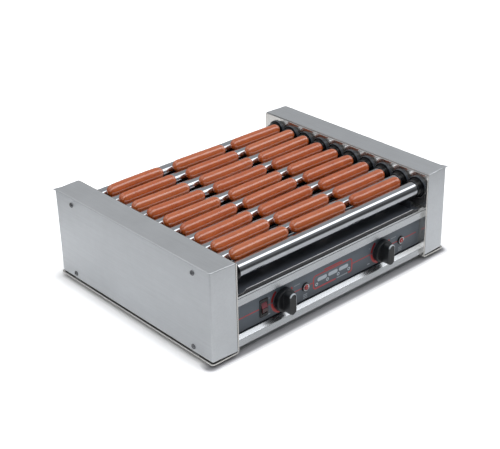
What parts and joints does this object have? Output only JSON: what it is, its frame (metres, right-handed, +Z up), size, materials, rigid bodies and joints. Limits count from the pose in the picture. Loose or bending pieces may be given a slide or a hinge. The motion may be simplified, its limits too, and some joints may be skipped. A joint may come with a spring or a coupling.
{
  "type": "hot dog roller grill",
  "caption": "Countertop roller grill: chromed heated rollers between two stainless end housings, front controls and a slide-out drip tray.",
  "frame": {"origin": "on the worktop, at the middle of the outer box", "axes": "+X along the rollers to the operator's right, -Y towards the operator, +Z up"},
  "size_m": [0.6162, 0.491, 0.188],
  "materials": {
    "cover_sheet": "brushed, satin",
    "frame_sheet": "brushed, satin",
    "screw_steel": "plain",
    "roller_chrome": "polished",
    "sprocket_steel": "oiled",
    "seal_rubber": "satin",
    "panel_paint": "fine textured",
    "tray_enamel": "glossy non-stick",
    "knob_plastic": "semi gloss",
    "spindle_steel": "turned",
    "switch_plastic": "moulded",
    "rocker_red": "glossy translucent",
    "bezel_chrome": "polished",
    "lens_red": "glossy translucent",
    "rod_sheath": "heat tinted",
    "insulator": "ceramic",
    "motor_iron": "varnished laminations",
    "gearbox_cast": "die cast",
    "foot_rubber": "matte",
    "cord_rubber": "matte"
  },
  "bodies": {
    "frame": {"base_pan": "frame_sheet", "control_panel": "panel_paint", "cover_screws": "screw_steel", "cover_struts": "frame_sheet", "drive_chain": "sprocket_steel", "drive_motor": "motor_iron", "element_bars": "frame_sheet", "feet": "foot_rubber", "gearbox": "gearbox_cast", "heating_rods": "rod_sheath", "lamp_bezels": "bezel_chrome", "lamp_lenses": "lens_red", "left_bearing_seals": "seal_rubber", "left_cover": "cover_sheet", "left_end_plate": "frame_sheet", "left_heat_switch": "switch_plastic", "lower_front_rail": "frame_sheet", "motor_bracket": "frame_sheet", "power_cord": "cord_rubber", "power_plug": "cord_rubber", "power_switch_housing": "switch_plastic", "rear_panel": "frame_sheet", "right_bearing_seals": "seal_rubber", "right_cover": "cover_sheet", "right_end_plate": "frame_sheet", "right_heat_switch": "switch_plastic", "strain_relief": "cord_rubber", "terminal_block": "switch_plastic", "terminal_insulators": "insulator", "tray_guides": "frame_sheet", "upper_front_rail": "frame_sheet", "wiring": "cord_rubber"},
    "roller_01": {"roller_tube_01": "roller_chrome", "roller_sprocket_01": "sprocket_steel"},
    "roller_02": {"roller_tube_02": "roller_chrome", "roller_sprocket_02": "sprocket_steel"},
    "roller_03": {"roller_tube_03": "roller_chrome", "roller_sprocket_03": "sprocket_steel"},
    "roller_04": {"roller_tube_04": "roller_chrome", "roller_sprocket_04": "sprocket_steel"},
    "roller_05": {"roller_tube_05": "roller_chrome", "roller_sprocket_05": "sprocket_steel"},
    "roller_06": {"roller_tube_06": "roller_chrome", "roller_sprocket_06": "sprocket_steel"},
    "roller_07": {"roller_tube_07": "roller_chrome", "roller_sprocket_07": "sprocket_steel"},
    "roller_08": {"roller_tube_08": "roller_chrome", "roller_sprocket_08": "sprocket_steel"},
    "roller_09": {"roller_tube_09": "roller_chrome", "roller_sprocket_09": "sprocket_steel"},
    "roller_10": {"roller_tube_10": "roller_chrome", "roller_sprocket_10": "sprocket_steel"},
    "gearbox_output": {"gearbox_shaft": "sprocket_steel", "drive_sprocket": "sprocket_steel"},
    "tray": {"drip_tray": "tray_enamel"},
    "left_heat_knob": {"left_knob": "knob_plastic", "left_switch_spindle": "spindle_steel"},
    "right_heat_knob": {"right_knob": "knob_plastic", "right_switch_spindle": "spindle_steel"},
    "rocker": {"power_rocker": "rocker_red"}
  },
  "joints": [
    {"name": "roller_01_spin", "type": "hinge", "parent": "frame", "child": "roller_01", "pos_m": [0, -0.2065, 0.1568], "axis": [1, 0, 0], "continuous": true},
    {"name": "roller_02_spin", "type": "hinge", "parent": "frame", "child": "roller_02", "pos_m": [0, -0.16205, 0.1568], "axis": [1, 0, 0], "continuous": true},
    {"name": "roller_03_spin", "type": "hinge", "parent": "frame", "child": "roller_03", "pos_m": [0, -0.1176, 0.1568], "axis": [1, 0, 0], "continuous": true},
    {"name": "roller_04_spin", "type": "hinge", "parent": "frame", "child": "roller_04", "pos_m": [0, -0.07315, 0.1568], "axis": [1, 0, 0], "continuous": true},
    {"name": "roller_05_spin", "type": "hinge", "parent": "frame", "child": "roller_05", "pos_m": [0, -0.0287, 0.1568], "axis": [1, 0, 0], "continuous": true},
    {"name": "roller_06_spin", "type": "hinge", "parent": "frame", "child": "roller_06", "pos_m": [0, 0.01575, 0.1568], "axis": [1, 0, 0], "continuous": true},
    {"name": "roller_07_spin", "type": "hinge", "parent": "frame", "child": "roller_07", "pos_m": [0, 0.0602, 0.1568], "axis": [1, 0, 0], "continuous": true},
    {"name": "roller_08_spin", "type": "hinge", "parent": "frame", "child": "roller_08", "pos_m": [0, 0.10465, 0.1568], "axis": [1, 0, 0], "continuous": true},
    {"name": "roller_09_spin", "type": "hinge", "parent": "frame", "child": "roller_09", "pos_m": [0, 0.1491, 0.1568], "axis": [1, 0, 0], "continuous": true},
    {"name": "roller_10_spin", "type": "hinge", "parent": "frame", "child": "roller_10", "pos_m": [0, 0.19355, 0.1568], "axis": [1, 0, 0], "continuous": true},
    {"name": "gearbox_output_spin", "type": "hinge", "parent": "frame", "child": "gearbox_output", "pos_m": [0.2594, 0.0348, 0.11621], "axis": [1, 0, 0], "continuous": true},
    {"name": "drip_tray_slide", "type": "slide", "parent": "frame", "child": "tray", "axis": [0, -1, 0], "range_m": [0, 0.4]},
    {"name": "left_knob_turn", "type": "hinge", "parent": "frame", "child": "left_heat_knob", "pos_m": [-0.128, -0.215, 0.062], "axis": [0, -1, 0], "range_deg": [0, 300]},
    {"name": "right_knob_turn", "type": "hinge", "parent": "frame", "child": "right_heat_knob", "pos_m": [0.1335, -0.215, 0.062], "axis": [0, -1, 0], "range_deg": [0, 300]},
    {"name": "power_rocker_tip", "type": "hinge", "parent": "frame", "child": "rocker", "pos_m": [-0.173, -0.211, 0.062], "axis": [1, 0, 0], "range_deg": [0, 16]}
  ],
  "couplings": [
    {"joint": "roller_02_spin", "follows": "roller_01_spin", "ratio": 1},
    {"joint": "roller_03_spin", "follows": "roller_01_spin", "ratio": 1},
    {"joint": "roller_04_spin", "follows": "roller_01_spin", "ratio": 1},
    {"joint": "roller_05_spin", "follows": "roller_01_spin", "ratio": 1},
    {"joint": "roller_06_spin", "follows": "roller_01_spin", "ratio": 1},
    {"joint": "roller_07_spin", "follows": "roller_01_spin", "ratio": 1},
    {"joint": "roller_08_spin", "follows": "roller_01_spin", "ratio": 1},
    {"joint": "roller_09_spin", "follows": "roller_01_spin", "ratio": 1},
    {"joint": "roller_10_spin", "follows": "roller_01_spin", "ratio": 1},
    {"joint": "gearbox_output_spin", "follows": "roller_01_spin", "ratio": -1}
  ]
}
